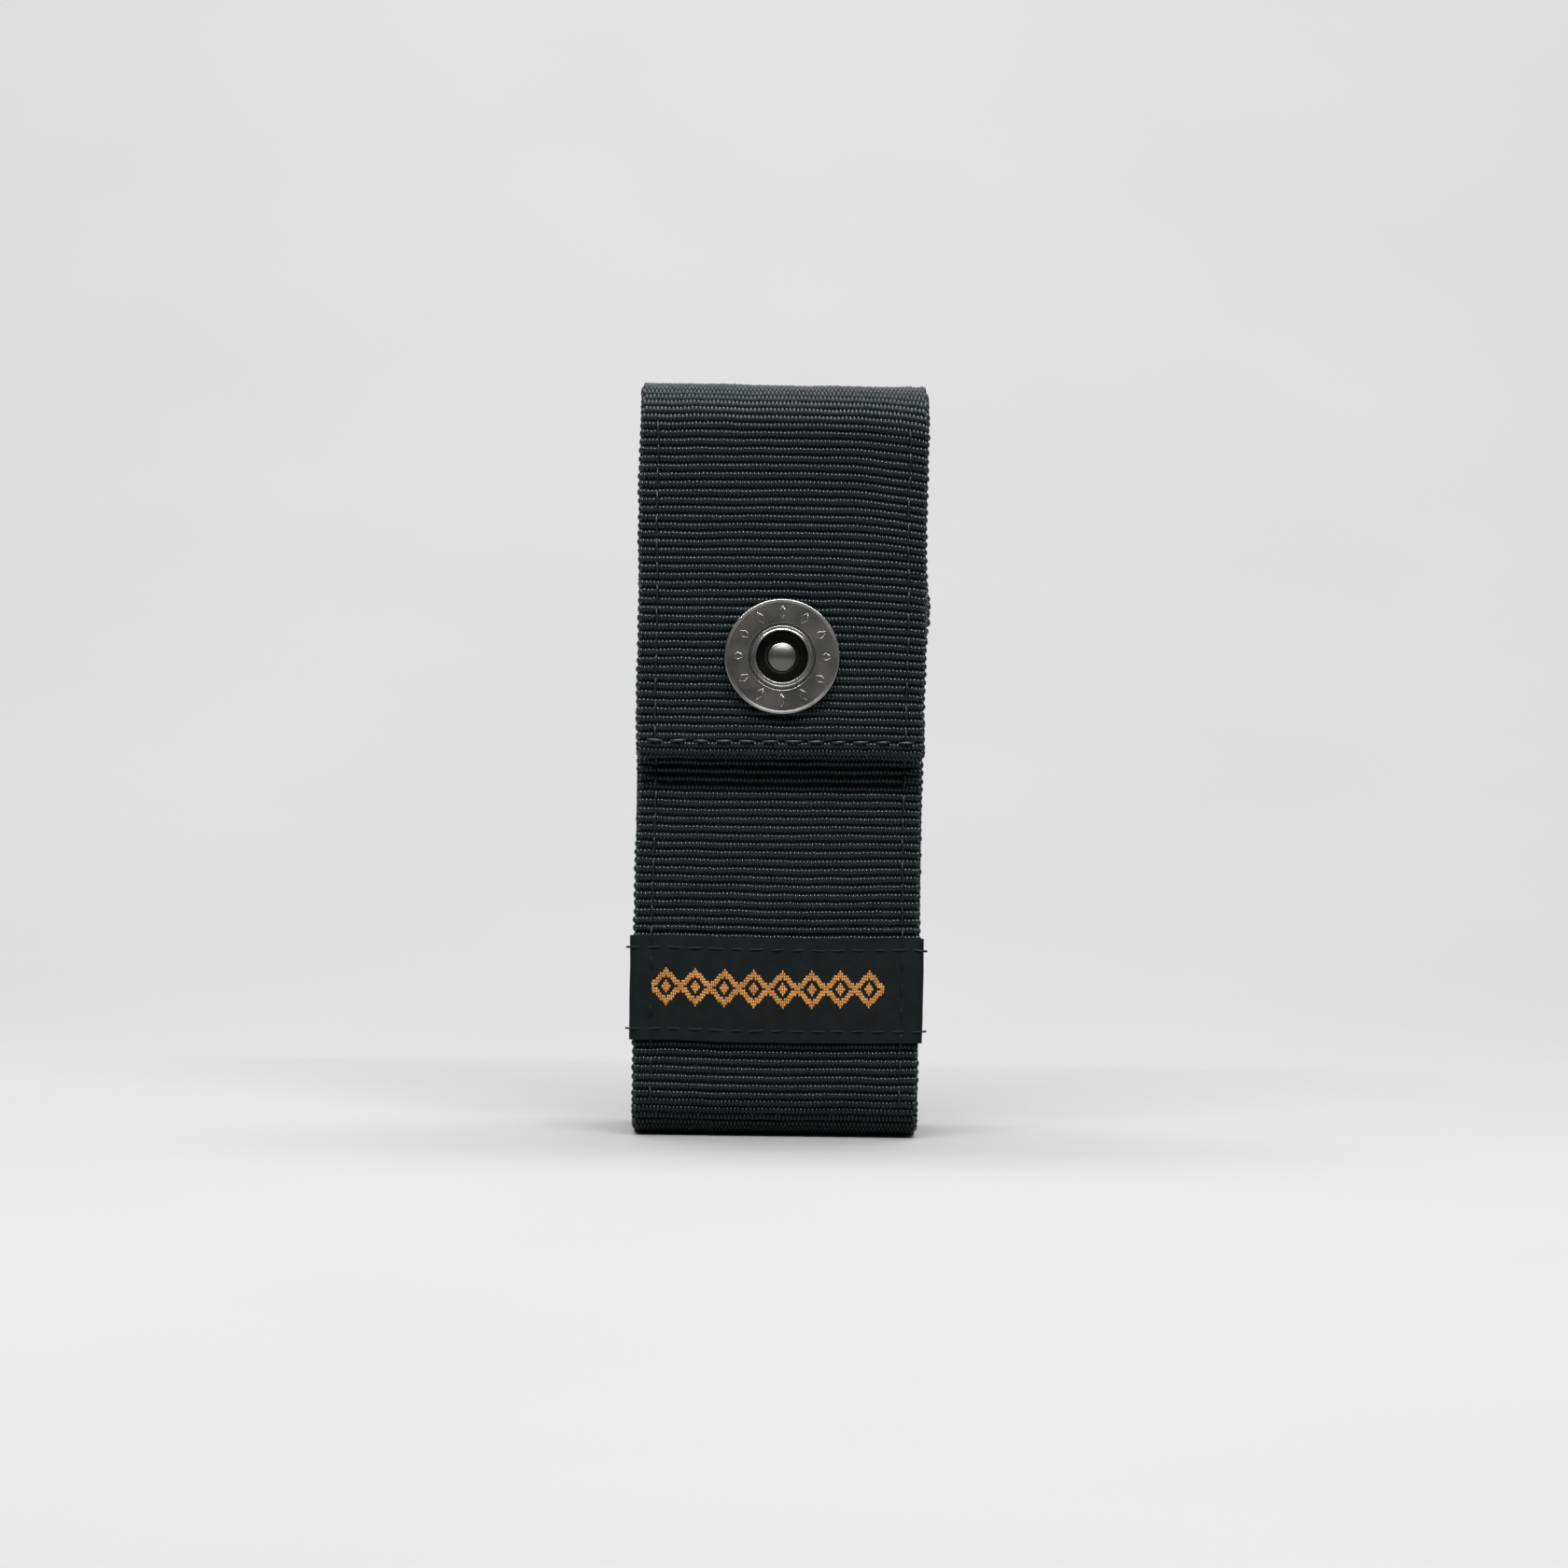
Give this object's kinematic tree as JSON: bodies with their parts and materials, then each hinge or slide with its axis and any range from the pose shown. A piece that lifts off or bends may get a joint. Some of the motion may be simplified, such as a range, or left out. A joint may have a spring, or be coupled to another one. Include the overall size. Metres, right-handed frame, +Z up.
{
  "type": "multi tool sheath",
  "caption": "Upright webbing belt sheath for a folding hand tool, with a snap-down flap, elastic sides and a belt loop.",
  "frame": {"origin": "under the middle of the sheath, on the surface that it stands on", "axes": "+Z up along the sheath, front and snap towards -Y, belt loop towards +Y, width along X"},
  "size_m": [0.0466, 0.037, 0.118],
  "materials": {
    "webbing": "ribbed woven nylon",
    "lining": "plain woven nylon",
    "elastic": "ribbed elastic",
    "label_ribbon": "satin weave",
    "thread": "twisted nylon thread",
    "antique_nickel": "dark antique nickel plate",
    "blackened_brass": "black oxide",
    "spring_steel": "bright wire"
  },
  "bodies": {
    "pouch": {"pouch_webbing": "webbing", "back_lining": "lining", "gusset_left": "elastic", "gusset_right": "elastic", "belt_loop": "webbing", "woven_label": "label_ribbon", "snap_stud": "antique_nickel", "stud_eyelet": "blackened_brass", "front_seam_thread_left": "thread", "front_seam_thread_right": "thread", "back_seam_thread_left": "thread", "back_seam_thread_right": "thread", "mouth_hem_thread": "thread", "label_thread_top": "thread", "label_thread_bottom": "thread", "loop_thread_top": "thread", "loop_thread_bottom": "thread"},
    "flap_top": {"flap_top_webbing": "webbing", "flap_top_lining": "lining"},
    "flap_front": {"flap_front_webbing": "webbing", "flap_front_lining": "lining", "snap_ring": "antique_nickel", "snap_socket": "blackened_brass", "snap_spring": "spring_steel", "flap_edge_thread_left": "thread", "flap_edge_thread_right": "thread", "flap_hem_thread": "thread"}
  },
  "joints": [
    {"name": "flap_back_fold", "type": "hinge", "parent": "pouch", "child": "flap_top", "pos_m": [0, 0.00955, 0.1161], "axis": [-1, 0, 0], "range_deg": [0, 150]},
    {"name": "flap_front_fold", "type": "hinge", "parent": "flap_top", "child": "flap_front", "pos_m": [0, -0.01501, 0.11566], "axis": [-1, 0, 0], "range_deg": [0, 90]}
  ]
}
